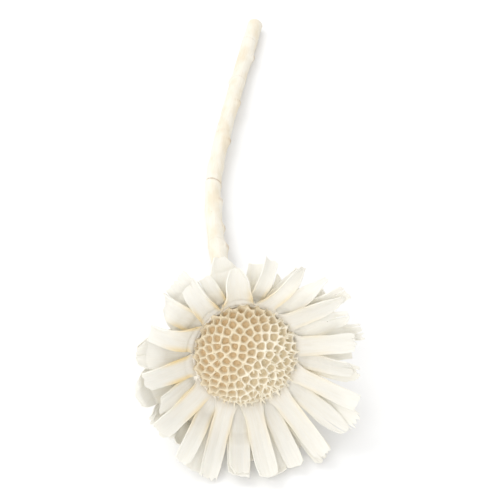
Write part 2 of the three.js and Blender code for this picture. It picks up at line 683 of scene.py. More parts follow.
@dataclass(frozen=True)
class HoneycombFinish:
    """The disc: tan pits between ivory walls with pale teeth."""

    tooth: tuple = linear(224, 211, 184)
    white_tooth: tuple = linear(240, 234, 217)
    wall: tuple = linear(221, 208, 182)
    pit: tuple = linear(212, 188, 150)
    bleached: tuple = linear(224, 212, 184)
    roughness: float = 0.72
    relief: float = 0.12 * MM

    def material(self) -> bpy.types.Material:
        """Builds the material.

        Returns:
            The material, which reads the attributes depth and bleach.
        """
        s = Shader("honeycomb")
        depth = s.attribute("depth")
        bleach = s.attribute("bleach")
        speckle = s.noise(s.place(), 900.0, 3.0)
        blotch = s.noise(s.place(), 160.0, 2.0)
        # Tan deeper in the pits, paler up the walls and on the crests, broken up by noise.
        depth_and_mottle = depth + (speckle - 0.5) * 0.25 + (blotch - 0.5) * 0.3
        floor = s.mix(bleach, self.pit, self.bleached)
        low = s.mix(depth_and_mottle.eased(0.05, 0.62), floor, self.wall)
        crest = s.mix(bleach.eased(0.0, 0.7), self.tooth, self.white_tooth)
        colour = s.mix(depth_and_mottle.eased(0.62, 0.98), low, crest)
        return s.finish(s.skin(colour, self.roughness, 0.25, s.bump(speckle, self.relief, 0.6)))


@dataclass(frozen=True)
class BarkFinish:
    """Bleached bark of the stem and of the cone: ivory, ribbed along, and brown in its scars."""

    name: str
    pale: tuple = linear(237, 232, 219)
    shade: tuple = linear(230, 219, 197)
    scar: tuple = linear(158, 122, 84)
    roughness: float = 0.68
    relief: float = 0.35 * MM

    def material(self) -> bpy.types.Material:
        """Builds the material.

        Returns:
            The material, which reads the attributes grain and scar.
        """
        s = Shader(self.name)
        grain = s.attribute("grain", "Vector")
        scar = s.attribute("scar")
        ribs = s.noise(s.scaled(grain, 1.6, 0.1, 1.0), 1.0, 5.0, 0.62)
        patches = s.noise(s.scaled(grain, 0.22, 0.07, 1.0), 1.0, 3.0)
        specks = s.noise(s.scaled(grain, 1.4, 0.9, 1.0), 1.0, 2.0)
        base = s.mix(patches.eased(0.4, 0.66), self.pale, self.shade)
        ribbed = s.mix(ribs.eased(0.5, 0.75) * 0.4, base, self.shade)
        dots = specks.eased(0.71, 0.78) * 0.35
        speckled = s.mix(dots, ribbed, self.scar)
        scarred = s.mix(scar * ribs.eased(0.32, 0.62), speckled, self.scar)
        normal = s.bump(ribs * 0.8 + specks * 0.2, self.relief, 0.8)
        return s.finish(s.skin(scarred, self.roughness, 0.3, normal))


@dataclass(frozen=True)
class TableFinish:
    """The plain white table."""

    colour: tuple = (0.9, 0.9, 0.9, 1.0)

    def material(self) -> bpy.types.Material:
        """Builds the material."""
        s = Shader("table")
        return s.finish(s.skin(self.colour, roughness=0.9, gloss=0.1))


# ---- Bracts --------------------------------------------------------------------------------------


class Cut(Enum):
    """How a bract ends."""

    SQUARE = "square"
    SLANTED = "slanted"
    POINTED = "pointed"
    ROUNDED = "rounded"
    FRAYED = "frayed"


@dataclass
class Strap:
    """A bract's solid, as measured: its middle line, its width, and its side of the head."""

    azimuth: float
    reach: np.ndarray
    height: np.ndarray
    width: np.ndarray

    @classmethod
    def measured(cls, node: bpy.types.Object, head: Head, count: int = 8) -> "Strap":
        """Measures the cross-sections of a bract's solid.

        Args:
            node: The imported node.
            head: The head's frame.
            count: How many cross-sections the solid has.

        Returns:
            The measured strap.
        """
        points, radius = head.read(node)
        middle = points[:, :2].mean(axis=0)
        azimuth = math.atan2(middle[1], middle[0])
        lean = math.radians(25)
        order = radius * math.cos(lean) + points[:, 2] * math.sin(lean)
        sections = rows(points, order, count)
        outward = np.array([math.cos(azimuth), math.sin(azimuth), 0.0])
        sideways = np.array([-outward[1], outward[0], 0.0])
        reach = np.array([(s @ outward).mean() for s in sections])
        height = np.array([s[:, 2].mean() for s in sections])
        width = np.array([np.ptp(s @ sideways) for s in sections])
        return cls(azimuth, reach, height, width)


@dataclass
class Crowd:
    """The bracts already in place, which each further one is kept behind."""

    gap: float = 0.08 * MM
    search: float = 5.0 * MM
    passes: int = 4
    free_from: float = 0.3
    free_over: float = 0.14
    spread: int = 4
    trees: list = field(default_factory=list)

    def add(self, piece: bpy.types.Object) -> None:
        """Takes a finished bract into the crowd.

        Args:
            piece: The bract, with its thickness.
        """
        places = get_places(piece)
        faces = [list(face.vertices) for face in piece.data.polygons]
        tree = BVHTree.FromPolygons([tuple(p) for p in places], faces)
        self.trees.append((tree, places.min(axis=0), places.max(axis=0)))

    def needed(self, places: np.ndarray, front: np.ndarray, room: float) -> np.ndarray:
        """Measures how far each place has to go back to be behind the crowd.

        Args:
            places: The places.
            front: The direction to the front at each place.
            room: How far behind a bract's back a place has to stay.

        Returns:
            One distance for each place, 0 where it is clear.
        """
        low = places.min(axis=0) - self.search
        high = places.max(axis=0) + self.search
        near = [t for t, a, b in self.trees if (a < high).all() and (b > low).all()]
        back = np.zeros(len(places))
        for i, (place, ahead) in enumerate(zip(places, front)):
            start = Vector(place - ahead * self.search)
            for tree in near:
                _, _, _, distance = tree.ray_cast(start, Vector(ahead), self.search + room)
                if distance is not None:
                    back[i] = max(back[i], self.search + room - distance)
        return back

    def settle(
        self, places: np.ndarray, front: np.ndarray, row: np.ndarray, thickness: float
    ) -> np.ndarray:
        """Moves a bract back, row by row, until it is clear of the crowd.

        Args:
            places: The bract's places.
            front: The direction to the front at each place.
            row: Each place's row along the bract.
            thickness: The bract's thickness.

        Returns:
            The places, moved.
        """
        last = row.max()
        free = smooth(np.arange(last + 1) / last, self.free_from, self.free_from + self.free_over)
        for _ in range(self.passes):
            back = self.needed(places, front, thickness / 2 + self.gap)
            most = np.zeros(last + 1)
            np.maximum.at(most, row, back)
            wide = np.pad(most, 2 * self.spread, mode="edge")
            shifts = range(-self.spread, self.spread + 1)
            middle = slice(self.spread, len(wide) - self.spread)
            held = np.max([np.roll(wide, k)[middle] for k in shifts], axis=0)
            kernel = np.ones(len(shifts)) / len(shifts)
            eased = np.convolve(held, kernel, mode="valid")
            places = places - front * (eased * free)[row][:, None]
        return places


@dataclass
class Shape:
    """How one bract grew and dried, beyond its solid, and how much painted glow its slits get."""

    cut: Cut
    width: float = 1.0
    length: float = 1.0
    cup: float = 0.5
    twist: float = 0.0
    curl: float = 0.0
    lift: float = 0.0
    sway: float = 0.0
    slant: float = 0.0
    chips: float = 0.5
    splits: int = 0
    tone: float = 0.0
    flare: float = 0.0
    # The strength of the warm glow of light painted into this bract's slits.
    warmth: float = 0.0


HABITS = {
    "inner_bract_02": {"cut": Cut.POINTED, "sway": -2.6 * MM, "twist": 0.35, "curl": 0.3},
    "second_bract_01": {"sway": 1.5 * MM},
    "second_bract_02": {"cut": Cut.POINTED, "sway": -4.2 * MM, "twist": -0.5, "curl": 0.2},
    "inner_bract_03": {"cut": Cut.POINTED, "sway": -5.6 * MM, "cup": 1.1, "twist": 0.3, "width": 1.15},
    "second_bract_03": {"cut": Cut.SQUARE, "sway": -2.8 * MM, "cup": 0.9, "twist": 0.5, "width": 1.1},
    "inner_bract_04": {"cut": Cut.ROUNDED, "width": 1.85, "cup": 1.35, "curl": -0.25, "twist": 0.1},
    "second_bract_04": {"cut": Cut.SQUARE, "sway": 1.6 * MM, "cup": 0.5, "curl": 0.35, "length": 0.84},
    "inner_bract_05": {"cut": Cut.SQUARE, "length": 0.74, "curl": 0.5, "cup": 0.9, "twist": -0.35},
    "second_bract_05": {"cut": Cut.ROUNDED, "width": 1.5, "curl": 2.3, "cup": 0.35, "length": 1.0},
    "inner_bract_06": {"cut": Cut.SLANTED, "length": 0.86, "curl": 0.7, "twist": -0.6, "cup": 1.0},
    "second_bract_06": {"cut": Cut.ROUNDED, "width": 1.75, "curl": 0.4, "cup": 0.5, "twist": 0.35},
    "inner_bract_07": {"cut": Cut.SQUARE, "width": 1.3, "length": 0.86, "curl": 0.1, "twist": -0.2},
    "second_bract_07": {"cut": Cut.SLANTED, "width": 1.0, "length": 0.9, "sway": 1.2 * MM},
    "inner_bract_08": {"cut": Cut.SQUARE, "width": 1.2, "length": 0.92, "sway": -1.0 * MM},
    "third_bract_03": {"length": 0.86},
    "third_bract_05": {"cut": Cut.ROUNDED, "width": 1.7, "curl": 0.8, "twist": 0.3, "length": 0.98},
    "third_bract_06": {"cut": Cut.FRAYED, "width": 1.7, "curl": 1.1, "twist": -0.3, "length": 1.0},
    "third_bract_07": {"cut": Cut.ROUNDED, "width": 1.9, "curl": 0.9, "cup": 0.3, "twist": 0.3},
    "third_bract_08": {"cut": Cut.ROUNDED, "width": 2.1, "curl": 0.3, "cup": 0.3, "length": 0.98},
    "third_bract_09": {"cut": Cut.ROUNDED, "width": 2.2, "curl": 0.1, "cup": 0.25, "length": 1.1},
    "third_bract_10": {"cut": Cut.FRAYED, "width": 2.0, "curl": 0.1, "cup": 0.3, "length": 1.08},
    "outer_bract_05": {"cut": Cut.FRAYED, "width": 1.6, "curl": 1.4, "cup": 0.4},
}


@dataclass
class Whorl:
    """One layer of bracts."""

    prefix: str
    seed: int
    thickness: float = PAPER
    resting_gap: float = 0.01 * MM
    across: int = 16
    along: int = 64
    width: float = 1.0
    length: float = 1.0
    collar: float = 0.0
    foot_forward: float = 0.0
    forward: float = 0.0
    cup: float = 1.0
    tone: float = 0.0
    pointed: float = 0.04
    unevenness: float = 0.035
    point: float = 0.72
    round_from: float = 0.72
    roundness: float = 0.85
    nick: float = 0.012
    cut_depth: float = 0.07
    rib_height: float = 0.05 * MM
    rib_turns: float = 7.5
    frill: float = 0.35 * MM
    wide_frill: float = 0.9 * MM
    nearly_flat: float = 1e-3
    finish: PaperyFinish = field(default_factory=PaperyFinish)

    def shape(self, azimuth: float, rng: np.random.Generator) -> Shape:
        """Chooses how a bract grew, by its side of the head.

        Args:
            azimuth: Degrees round the face, anticlockwise from its right.
            rng: Where the random numbers come from.

        Returns:
            The bract's shape.
        """
        upper = side(azimuth, centre=112, reach=75)
        lower = side(azimuth, centre=270, reach=75)
        right = side(azimuth, centre=8, reach=60)
        left = side(azimuth, centre=165, reach=60)
        leafy = side(azimuth, centre=62, reach=30)
        cuts = list(Cut)
        odds = np.array([0.42, 0.33, self.pointed + 0.9 * leafy, 0.03 + 0.8 * left, 0.22 + 0.2 * right])
        cut = cuts[int(rng.choice(len(cuts), p=odds / odds.sum()))]
        return Shape(
            cut=cut,
            width=self.width * (1 + 0.08 * rng.uniform(-1, 1) + 0.2 * left + 0.08 * upper),
            length=self.length
            * (1 + 0.03 * rng.uniform(-1, 1) - 0.2 * upper + 0.16 * lower + 0.02 * right),
            cup=self.cup * (rng.uniform(0.25, 0.75) + 0.6 * upper * rng.uniform(0, 1)),
            twist=rng.uniform(-0.16, 0.16) + 0.2 * right + 0.55 * upper * rng.uniform(-1, 1),
            curl=0.08 * rng.uniform(-1, 1) + upper * rng.uniform(0.2, 1.9) - 0.32 * lower,
            lift=0.5 * MM * rng.uniform(0, 1) + self.forward,
            sway=rng.uniform(-1, 1) * (0.9 + 1.6 * upper) * MM,
            slant=rng.uniform(-1, 1),
            chips=rng.uniform(0.3, 1.0),
            splits=int(rng.choice(3, p=[0.6, 0.28, 0.12])),
            tone=float(np.clip(self.tone + rng.uniform(-0.15, 0.35), 0, 1)),
            flare=rng.uniform(-0.04, 0.1),
            # Painted glow in the slits: strongest on the left of the head.
            warmth=0.2 + 0.8 * side(azimuth, 155, 125) * rng.uniform(0.4, 1),
        )

    def build(self, nodes: dict, head: Head, crowd: Crowd) -> list[bpy.types.Object]:
        """Builds every bract of the layer.

        Args:
            nodes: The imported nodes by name.
            head: The head's frame.
            crowd: The bracts already in place, which these join.

        Returns:
            The finished bracts.
        """
        material = self.finish.material()
        pieces = []
        names = sorted(name for name in nodes if name.startswith(self.prefix))
        for i, name in enumerate(names):
            rng = np.random.default_rng(self.seed * SEEDS_APART + i)
            strap = Strap.measured(nodes[name], head)
            azimuth = math.degrees(strap.azimuth) % 360
            shape = replace(self.shape(azimuth, rng), **HABITS.get(name, {}))
            piece = self.grow(strap, shape, head, rng, crowd)
            crowd.add(piece)
            dress(piece, name + "_paper", material, crease=50)
            adopt(piece, [name])
            pieces.append(piece)
        return pieces

    def middle_line(self, strap: Strap, shape: Shape) -> tuple[np.ndarray, np.ndarray, np.ndarray]:
        """Follows the strap's middle line, with the bract's own curl and length.

        Args:
            strap: The measured strap.
            shape: How the bract grew.

        Returns:
            How far out and how high the line is at each step, and its slope there.
        """
        known = running(np.hypot(np.diff(strap.reach), np.diff(strap.height)))
        slopes = np.arctan2(np.diff(strap.height), np.diff(strap.reach))
        middles = (known[1:] + known[:-1]) / 2
        at = np.linspace(0, known[-1], self.along + 1)
        slope = np.interp(at, middles, slopes)
        blur = 7
        padded = np.pad(slope, blur // 2, mode="edge")
        slope = np.convolve(padded, np.ones(blur) / blur, mode="valid")
        part = np.linspace(0, 1, self.along + 1)
        slope = slope - shape.curl * smooth(part, 0.35, 1.0) * part
        step = known[-1] / self.along * shape.length
        reach = strap.reach[0] + running(step * np.cos(slope[:-1]))
        height = strap.height[0] + running(step * np.sin(slope[:-1]))
        return reach, height, slope

    def outline(self, strap: Strap, shape: Shape, rng: np.random.Generator) -> np.ndarray:
        """Draws the bract's outline.

        Args:
            strap: The measured strap.
            shape: How the bract grew.
            rng: Where the random numbers come from.

        Returns:
            Half the bract's width at each step along it.
        """
        part = np.linspace(0, 1, self.along + 1)
        width = np.interp(part, np.linspace(0, 1, len(strap.width)), strap.width)
        width = width * shape.width * (1 + shape.flare * smooth(part, 0.5, 1.0))
        width = width * (1 + self.collar * (1 - smooth(part, 0.18, 0.36)))
        width = width * (1 + self.unevenness * wander(self.along + 1, 7, rng))
        if shape.cut is Cut.POINTED:
            width = width * (1 - self.point * smooth(part, 0.62, 1.02) ** 1.5)
        if shape.cut is Cut.ROUNDED:
            near_end = np.clip((part - self.round_from) / 0.28, 0, 1)
            width = width * np.sqrt(1 - self.roundness * near_end**2)
        return width / 2

    def end_line(self, shape: Shape, rng: np.random.Generator) -> np.ndarray:
        """Draws the bract's cut end.

        Args:
            shape: How the bract grew.
            rng: Where the random numbers come from.

        Returns:
            The share of the bract's length that is taken off at each step across it.
        """
        across = np.linspace(-1, 1, self.across + 1)
        line = self.nick * shape.chips * (1 + wander(self.across + 1, 5, rng))
        if shape.cut is Cut.SLANTED:
            line = line + self.cut_depth * shape.slant * across + self.cut_depth * abs(shape.slant)
        if shape.cut is Cut.FRAYED:
            line = line + self.cut_depth * shape.chips * rng.uniform(0, 1, self.across + 1) ** 2
        if shape.cut is Cut.SQUARE:
            line = line + 0.02 * shape.slant * across + 0.02
        corner = rng.uniform(0, 0.05) * smooth(across * rng.choice([-1, 1]), 0.5, 1.0)
        return line + corner

    def grow(
        self, strap: Strap, shape: Shape, head: Head, rng: np.random.Generator, crowd: Crowd
    ) -> bpy.types.Object:
        """Grows one bract along its strap.

        Args:
            strap: The measured strap.
            shape: How the bract grew.
            head: The head's frame.
            rng: Where the random numbers come from.
            crowd: The bracts already in place.

        Returns:
            The bract, a closed thin solid.
        """
        piece, column, row = flat_grid(self.across, self.along)
        u = column / self.across * 2 - 1
        part = row / self.along

        reach, height, slope = self.middle_line(strap, shape)
        half = self.outline(strap, shape, rng)
        taken = self.end_line(shape, rng)[column] * smooth(part, 0.45, 1.0)
        at = part * (1 - taken) * self.along
        steps = np.arange(self.along + 1)

        def along_line(values: np.ndarray) -> np.ndarray:
            """Reads a line's values at each corner's own place along it."""
            return np.interp(at, steps, values)

        out, up, lean = along_line(reach), along_line(height), along_line(slope)
        half_width = along_line(half)
        twist = shape.twist * smooth(part, 0.3, 1.0)
        bend = np.maximum(shape.cup * smooth(part, 0.16, 0.7), self.nearly_flat)
        sideways = half_width * np.sin(bend * u) / bend
        raised = half_width * (1 - np.cos(bend * u)) / bend
        fibres = u * self.rib_turns + 2 * wander(self.across + 1, 4, rng)[column]
        ribs = self.rib_height * np.sin(fibres)
        ribs = ribs * smooth(part, 0.1, 0.4)
        frill = self.wide_frill if shape.cut is Cut.ROUNDED else self.frill
        ripple = frill * wander(self.along + 1, 7, rng)[row] * u**3 * smooth(part, 0.4, 0.9)
        raised = raised + ribs + ripple + shape.lift * smooth(part, 0.3, 0.85)
        raised = raised + self.foot_forward * (1 - smooth(part, 0.25, 0.6))

        cos_a, sin_a = math.cos(strap.azimuth), math.sin(strap.azimuth)
        outward = np.array([cos_a, sin_a, 0.0])
        across = np.array([-sin_a, cos_a, 0.0])
        front = -np.sin(lean)[:, None] * outward + np.cos(lean)[:, None] * UP
        turned = np.cos(twist)[:, None] * across + np.sin(twist)[:, None] * front
        turned_front = np.cos(twist)[:, None] * front - np.sin(twist)[:, None] * across
        middle = out[:, None] * outward + up[:, None] * UP
        places = middle - sideways[:, None] * turned + raised[:, None] * turned_front
        places = places + (shape.sway * part**2)[:, None] * across
        around = -half_width * u / out
        fused = (out * np.cos(around))[:, None] * outward + (out * np.sin(around))[:, None] * across
        fused = fused + up[:, None] * UP + raised[:, None] * front
        free = smooth(part, 0.2, 0.45)[:, None]
        places = fused * (1 - free) + places * free
        lying = crowd.settle(head.world(places), front @ head.turn, row, self.thickness)
        lying[:, 2] = np.maximum(lying[:, 2], self.thickness / 2 + self.resting_gap)
        set_places(piece, lying)

        span = at / self.along
        millimetres = np.stack([u * half_width, span * strap_length(strap), u * 0], axis=1) / MM
        mark(piece, "grain", millimetres + rng.uniform(0, 90, 3))
        mark(piece, "along", span)
        mark(piece, "edge", np.abs(u))
        # Each bract's amount of painted glow is kept for its finish.
        mark_all(piece, tone=shape.tone, warmth=shape.warmth)
        self.split(piece, shape, column, row, rng)
        apply_modifier(piece, "SOLIDIFY", thickness=self.thickness, offset=0.0)
        return piece

    def split(
        self,
        piece: bpy.types.Object,
        shape: Shape,
        column: np.ndarray,
        row: np.ndarray,
        rng: np.random.Generator,
    ) -> None:
        """Tears narrow splits into a bract's end, along its fibres.

        Args:
            piece: The bract, still one layer of faces.
            shape: How the bract grew.
            column: Each corner's column.
            row: Each corner's row.
            rng: Where the random numbers come from.
        """
        if not shape.splits:
            return
        with editing(piece):
            bpy.ops.mesh.select_all(action="DESELECT")
        middles = {}
        for face in piece.data.polygons:
            ids = list(face.vertices)
            middles[face.index] = (column[ids].mean(), row[ids].mean())
        grid = np.lexsort((column, row)).reshape(self.along + 1, self.across + 1)
        torn = get_places(piece)
        places = rng.choice(np.arange(2, self.across - 2), shape.splits, replace=False)
        for place in places:
            depth = self.along * (1 - rng.uniform(0.05, 0.28))
            opened = np.arange(math.ceil(depth), self.along + 1)
            sides = grid[opened][:, [place, place + 1]]
            middle = torn[sides].mean(axis=1, keepdims=True)
            opening = np.linspace(0.1, 1.35, len(opened))[:, None, None]
            torn[sides] = middle + (torn[sides] - middle) * opening
            for index, (c, r) in middles.items():
                if abs(c - place - 0.5) < 0.1 and r > depth:
                    piece.data.polygons[index].select = True
        set_places(piece, torn)
        with editing(piece):
            bpy.ops.mesh.delete(type="FACE")


def strap_length(strap: Strap) -> float:
    """Measures a strap along its middle line."""
    return float(np.hypot(np.diff(strap.reach), np.diff(strap.height)).sum())


# ---- The disc and the cone -----------------------------------------------------------------------


@dataclass
class Disc:
    """The domed disc of empty floret pits, in a spiral, with a tooth at each corner of a pit.

    Each inset is a step down into a pit: its width as a share of a wall's, its depth as a share of
    the pit's, and the level that the finish reads there.
    """

    radius: float
    dome: float
    pits: int = 142
    around: int = 41
    wall: float = 0.22 * MM
    pit_depth: float = 1.6 * MM
    tooth: float = 0.85 * MM
    tooth_lean: float = 0.5
    short_edge: float = 0.6 * MM
    roundness: float = 0.35
    least_tooth: float = 0.3
    crest: float = 0.3 * MM
    crest_level: float = 0.86
    crest_crease: float = 0.8
    bleached_side: tuple = (0.86, -0.5)
    bleached_over: tuple = (-0.25, 0.5)
    stub_lean: float = 0.6
    stub_thickness: float = 0.16
    skirt: float = 3.2 * MM
    steps: int = 200
    below_steps: int = 20
    insets: tuple = ((1.1, 0.06, 0.8), (1.0, 0.4, 0.5), (1.1, 0.48, 0.15), (0.9, 0.06, 0))
    seed: int = 5
    finish: HoneycombFinish = field(default_factory=HoneycombFinish)

    @classmethod
    def measured(cls, node: bpy.types.Object, head: Head, overhang: float = 1.03) -> "Disc":
        """Measures the dome of the receptacle's solid.

        Args:
            node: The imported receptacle.
            head: The head's frame.
            overhang: How far the pits stand out past the dome's rim, as a share of its radius.

        Returns:
            The disc, at the solid's size.
        """
        points, radius = head.read(node)
        return cls(radius=float(radius.max() * overhang), dome=float(points[:, 2].max()))

    def profile(self) -> tuple[np.ndarray, np.ndarray, np.ndarray]:
        """Rolls the dome out flat, keeping areas even.

        Returns:
            The rolled-out radius of each ring, its real radius, and its height.
        """
        turn = np.linspace(0, math.pi / 2, self.steps)
        radius = self.radius * np.sin(turn)
        height = self.dome * np.cos(turn)
        slant = np.hypot(np.diff(radius), np.diff(height))
        area = running(slant * (radius[1:] + radius[:-1]) * math.pi)
        rolled = np.sqrt(area / math.pi)
        below = np.linspace(0.1, 4, self.below_steps) * MM
        rolled = np.concatenate([rolled, rolled[-1] + below])
        radius = np.concatenate([radius, np.full(self.below_steps, self.radius)])
        height = np.concatenate([height, -below])
        return rolled, radius, height

    def lifted(self, flat: np.ndarray) -> tuple[np.ndarray, np.ndarray]:
        """Lays rolled-out places back on the dome.

        Args:
            flat: Places on the rolled-out disc.

        Returns:
            The places on the dome in the head's frame, and the dome's outward directions there.
        """
        rolled, radius, height = self.profile()
        length = np.hypot(flat[:, 0], flat[:, 1])
        r = np.interp(length, rolled, radius)
        z = np.interp(length, rolled, height)
        not_zero = 1e-9
        spoke = flat / np.maximum(length, not_zero)[:, None]
        places = np.column_stack([spoke * r[:, None], z])
        steep = np.column_stack([spoke * (r / self.radius**2)[:, None], z / self.dome**2])
        return places, unit(steep)

    def cells(self) -> tuple[np.ndarray, list[list[int]], np.ndarray]:
        """Parts the rolled-out disc into one cell for each pit.

        Returns:
            The corners, the cells as rings of corners, and which corners carry a tooth.
        """
        rng = np.random.default_rng(self.seed)
        total = self.pits + self.around
        index = np.arange(total)
        edge = self.profile()[0][self.steps - 1]
        length = edge * np.sqrt((index + 0.5) / self.pits)
        angle = index * GOLDEN_TURN
        seeds = np.column_stack([length * np.cos(angle), length * np.sin(angle)])
        seeds += rng.normal(0, 0.03 * MM, seeds.shape)
        points = [Vector((x / MM, y / MM)) for x, y in seeds]
        _, _, triangles, _, _, _ = delaunay_2d_cdt(points, [], [], 0, 1e-6)
        centres = np.array([circumcentre(seeds[list(t)]) for t in triangles])
        merged = self.merge_close(triangles, centres)
        owners: list[list[int]] = [[] for _ in range(total)]
        for k, triangle in enumerate(triangles):
            for owner in triangle:
                if merged[k] not in owners[owner]:
                    owners[owner].append(merged[k])
        places = [tuple(c) for c in centres]
        teeth = [True] * len(places)
        middles: dict[tuple[int, int], int] = {}
        rings = []
        for owner in range(self.pits):
            away = centres[owners[owner]] - seeds[owner]
            ring = [owners[owner][j] for j in np.argsort(np.arctan2(away[:, 1], away[:, 0]))]
            full = []
            for a, b in zip(ring, ring[1:] + ring[:1]):
                key = (min(a, b), max(a, b))
                if key not in middles:
                    middles[key] = len(places)
                    places.append(tuple((centres[a] + centres[b]) / 2))
                    teeth.append(False)
                full += [a, middles[key]]
            rings.append(full)
        return np.array(places), rings, np.array(teeth)

    def merge_close(self, triangles: list, centres: np.ndarray) -> list[int]:
        """Joins corners that are too close for a wall between them.

        Args:
            triangles: The triangles of neighbouring pits.
            centres: The corner in the middle of each triangle, moved where two are joined.

        Returns:
            For each triangle, the number of the corner that it now shares.
        """
        merged = list(range(len(triangles)))
        sides: dict[tuple[int, int], int] = {}
        for k, (a, b, c) in enumerate(triangles):
            for edge in ((a, b), (b, c), (c, a)):
                key = (min(edge), max(edge))
                other = sides.setdefault(key, k)
                apart = np.linalg.norm(centres[other] - centres[k])
                alone = merged[other] == other and merged[k] == k
                if other != k and alone and apart < self.short_edge:
                    centres[other] = (centres[other] + centres[k]) / 2
                    merged[k] = other
        return merged

    def build(self, head: Head) -> bpy.types.Object:
        """Builds the disc as a closed solid.

        Args:
            head: The head's frame.

        Returns:
            The disc.
        """
        rng = np.random.default_rng(self.seed + 1)
        flat, rings, teeth = self.cells()
        places, outward = self.lifted(flat)
        chance = rng.uniform(0, 1, len(teeth))
        rise = np.where(teeth, self.tooth * (self.least_tooth + chance), self.crest * chance)
        away = places * (1, 1, 0) / self.radius
        places = places + (outward + self.tooth_lean * away) * rise[:, None]
        used = sorted({corner for ring in rings for corner in ring})
        renumber = {old: new for new, old in enumerate(used)}
        faces = [[renumber[c] for c in ring] for ring in rings]
        piece = new_piece("disc", places[used], faces)
        levels = [np.where(teeth[used], 1.0, self.crest_level)]
        with editing(piece):
            bpy.ops.mesh.select_all(action="SELECT")
            bpy.ops.mesh.normals_make_consistent(inside=False)
            bpy.ops.transform.edge_crease(value=self.crest_crease)
        for share, depth, level in self.insets:
            sink = -self.pit_depth * depth
            with editing(piece):
                bpy.ops.mesh.inset(
                    thickness=self.wall * share, depth=sink, use_individual=True, use_even_offset=False
                )
            made = len(piece.data.vertices) - sum(len(part) for part in levels)
            levels.append(np.full(made, float(level)))
            self.round_off(piece)
        mark(piece, "depth", np.concatenate(levels))
        mark(piece, "bleach", self.bleach(get_places(piece)))
        close_openings(piece, self.skirt)
        apply_modifier(piece, "SUBSURF", levels=1, render_levels=1)
        set_places(piece, head.world(get_places(piece)))
        dress(piece, "honeycomb_disc", self.finish.material())
        return piece

    def bleach(self, places: np.ndarray) -> np.ndarray:
        """Tells how bleached the disc is: most on its lower right.

        Args:
            places: Places in the head's frame.

        Returns:
            A number from 0 to 1 for each place.
        """
        x, y = self.bleached_side
        across = (places[:, 0] * x + places[:, 1] * y) / self.radius
        return smooth(across, *self.bleached_over)

    def round_off(self, piece: bpy.types.Object) -> None:
        """Draws the corners of every selected face towards a circle.

        Args:
            piece: The disc.
        """
        places = get_places(piece)
        for face in piece.data.polygons:
            if face.select:
                ids = list(face.vertices)
                middle = places[ids].mean(axis=0)
                spoke = places[ids] - middle
                length = np.linalg.norm(spoke, axis=1)
                even = (length.mean() / length) ** self.roundness
                places[ids] = middle + spoke * even[:, None]
        set_places(piece, places)

    def stubs(self, head: Head) -> bpy.types.Object:
        """Builds the pointed stubs that stand at the corners of the pits.

        Args:
            head: The head's frame.

        Returns:
            The stubs, all in one piece.
        """
        rng = np.random.default_rng(self.seed + 2)
        flat, rings, teeth = self.cells()
        places, outward = self.lifted(flat)
        used = sorted({corner for ring in rings for corner in ring if teeth[corner]})
        deselect()
        bpy.ops.mesh.primitive_cone_add(vertices=5, radius1=1, depth=1, location=(0, 0, 0.5))
        piece = bpy.context.object
        bpy.ops.object.transform_apply(location=True)
        model = get_places(piece)
        model_faces = [list(face.vertices) for face in piece.data.polygons]
        grown, faces, depth, bleach = [], [], [], []
        for corner in used:
            bleached = self.bleach(places[[corner]])[0]
            for _ in range(1 + int(rng.uniform(0.6, 3.2) * bleached)):
                away = np.append(places[corner][:2], 0.0) / self.radius
                lean = unit(outward[corner] + self.stub_lean * away + rng.normal(0, 0.2, 3))
                flat_side = unit(np.cross(lean, rng.normal(0, 1, 3)))
                width, length = rng.uniform(0.3, 0.56), rng.uniform(1.2, 2.0)
                size = np.array([width, self.stub_thickness, length]) * MM
                size[2] += 0.5 * MM * bleached
                frame = np.stack([flat_side, np.cross(lean, flat_side), lean])
                start = places[corner] + flat_side * rng.normal(0, 0.12) * MM
                faces += [[v + len(model) * len(grown) for v in face] for face in model_faces]
                grown.append(start + (model * size) @ frame)
                depth.append(0.75 + 0.3 * model[:, 2])
                bleach.append(np.full(len(model), bleached))
        bpy.data.meshes.remove(piece.data)
        piece = new_piece("floret_stubs", head.world(np.vstack(grown)), faces)
        mark(piece, "depth", np.concatenate(depth))
        mark(piece, "bleach", np.concatenate(bleach))
        piece.data.materials.append(self.finish.material())
        return piece


def circumcentre(corners_2d: np.ndarray) -> np.ndarray:
    """Finds the middle of the circle through a triangle's corners.

    Args:
        corners_2d: The triangle's three corners, in a plane.

    Returns:
        The circle's middle.
    """
    a, b, c = corners_2d
    d = 2 * (a[0] * (b[1] - c[1]) + b[0] * (c[1] - a[1]) + c[0] * (a[1] - b[1]))
    squares = [float(p @ p) for p in (a, b, c)]
    x = squares[0] * (b[1] - c[1]) + squares[1] * (c[1] - a[1]) + squares[2] * (a[1] - b[1])
    y = squares[0] * (c[0] - b[0]) + squares[1] * (a[0] - c[0]) + squares[2] * (b[0] - a[0])
    return np.array([x / d, y / d])


